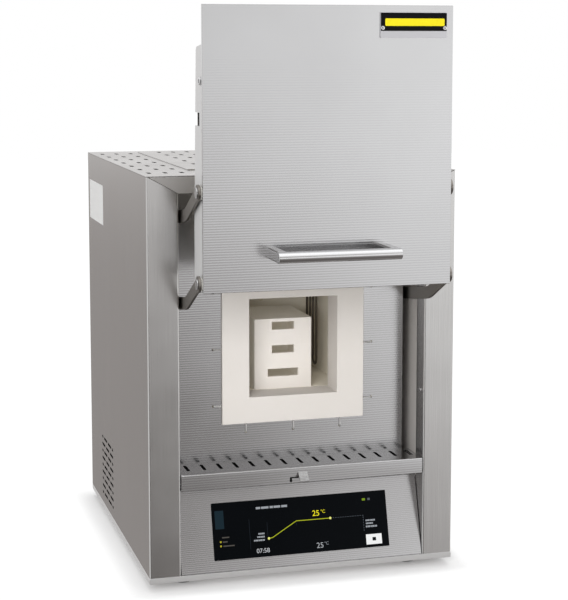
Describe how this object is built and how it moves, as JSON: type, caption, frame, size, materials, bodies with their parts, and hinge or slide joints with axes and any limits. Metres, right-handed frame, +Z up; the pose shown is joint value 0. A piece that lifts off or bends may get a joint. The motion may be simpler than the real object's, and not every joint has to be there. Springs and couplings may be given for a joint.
{
  "type": "muffle furnace",
  "caption": "Benchtop muffle furnace with a parallel swing-up door, fibre-lined chamber, slotted shelf, slanted touch display and a stack of sintering saggers.",
  "frame": {"origin": "centre of the bounding box underside, with the door open, on the plane of the feet", "axes": "+X to the user's right, +Y to the back, +Z up"},
  "size_m": [0.385, 0.586, 0.6965],
  "materials": {
    "textured_stainless": "linen-embossed stainless sheet",
    "brushed_stainless": "brushed stainless sheet",
    "satin_stainless": "satin stainless sheet",
    "polished_steel": "ground and polished stainless",
    "dark_steel": "burnished steel",
    "ptfe": "turned PTFE",
    "galvanised_steel": "galvanised sheet",
    "fibre_board": "vacuum-formed ceramic fibre board",
    "clip_wire": "drawn stainless wire",
    "sagger_ceramic": "pressed and fired alumina",
    "element": "oxidised molybdenum disilicide",
    "sheath_ceramic": "extruded alumina",
    "aluminium": "extruded aluminium",
    "display_black_glass": "black-backed glass",
    "black_plastic": "moulded polyamide",
    "board": "glass-epoxy circuit board",
    "rubber": "moulded rubber",
    "core": "laminated iron and copper windings",
    "plate": "enamelled plate"
  },
  "bodies": {
    "root": {"arm_pivot_studs": "polished_steel", "base_tray": "satin_stainless", "case_screws": "polished_steel", "collar": "fibre_board", "control_panel": "textured_stainless", "display_board": "board", "display_frame": "black_plastic", "display_glass": "display_black_glass", "element_clamps": "aluminium", "fan_frame": "black_plastic", "fan_guard": "clip_wire", "fan_guard_feet": "clip_wire", "friction_discs": "dark_steel", "front_header": "brushed_stainless", "heating_elements": "element", "inner_casing": "galvanised_steel", "left_arm_wall": "brushed_stainless", "left_side_panel": "brushed_stainless", "mains_inlet": "black_plastic", "muffle_floor": "fibre_board", "muffle_front": "fibre_board", "muffle_rear": "fibre_board", "muffle_roof": "fibre_board", "muffle_side_walls": "fibre_board", "muffle_stand": "galvanised_steel", "rear_panel": "satin_stainless", "recess_panel": "textured_stainless", "right_arm_wall": "brushed_stainless", "right_side_panel": "brushed_stainless", "rubber_feet": "rubber", "sagger_bottom": "sagger_ceramic", "sagger_lid": "sagger_ceramic", "sagger_middle": "sagger_ceramic", "sagger_top": "sagger_ceramic", "shelf": "textured_stainless", "switch_housing": "black_plastic", "terminal_block": "black_plastic", "thermocouple": "sheath_ceramic", "thyristor_unit": "aluminium", "top_cover": "satin_stainless", "top_plate": "satin_stainless", "transformer": "core", "wire_clips": "clip_wire"},
    "door": {"door_skin": "textured_stainless", "left_door_side": "brushed_stainless", "right_door_side": "brushed_stainless", "door_inner_pan": "brushed_stainless", "door_insulation": "fibre_board", "door_plug": "fibre_board", "handle_bar": "polished_steel", "handle_legs": "polished_steel", "nameplate": "plate", "door_screws": "polished_steel", "door_pivot_pins": "polished_steel"},
    "lower_arms": {"lower_arms": "dark_steel", "lower_arm_bushes": "ptfe"},
    "upper_arms": {"upper_arms": "dark_steel", "upper_arm_bushes": "ptfe"},
    "fan_rotor": {"fan_rotor": "black_plastic"},
    "switch_rocker": {"switch_rocker": "black_plastic"}
  },
  "joints": [
    {"name": "door_swing", "type": "hinge", "parent": "root", "child": "lower_arms", "pos_m": [0, -0.049, 0.33457], "axis": [1, 0, 0], "range_deg": [0, 77.5]},
    {"name": "door_level", "type": "hinge", "parent": "lower_arms", "child": "door", "pos_m": [0, -0.234, 0.3842], "axis": [1, 0, 0], "range_deg": [-77.5, 0]},
    {"name": "upper_arm_swing", "type": "hinge", "parent": "root", "child": "upper_arms", "pos_m": [0, -0.049, 0.43767], "axis": [1, 0, 0], "range_deg": [0, 77.5]},
    {"name": "fan_spin", "type": "hinge", "parent": "root", "child": "fan_rotor", "pos_m": [0.105, 0.275, 0.42], "axis": [0, 1, 0], "continuous": true},
    {"name": "switch_rock", "type": "hinge", "parent": "root", "child": "switch_rocker", "pos_m": [-0.09, 0.283, 0.062], "axis": [1, 0, 0], "range_deg": [0, 12]}
  ],
  "couplings": [
    {"joint": "door_level", "follows": "door_swing", "ratio": -1},
    {"joint": "upper_arm_swing", "follows": "door_swing", "ratio": 1}
  ]
}
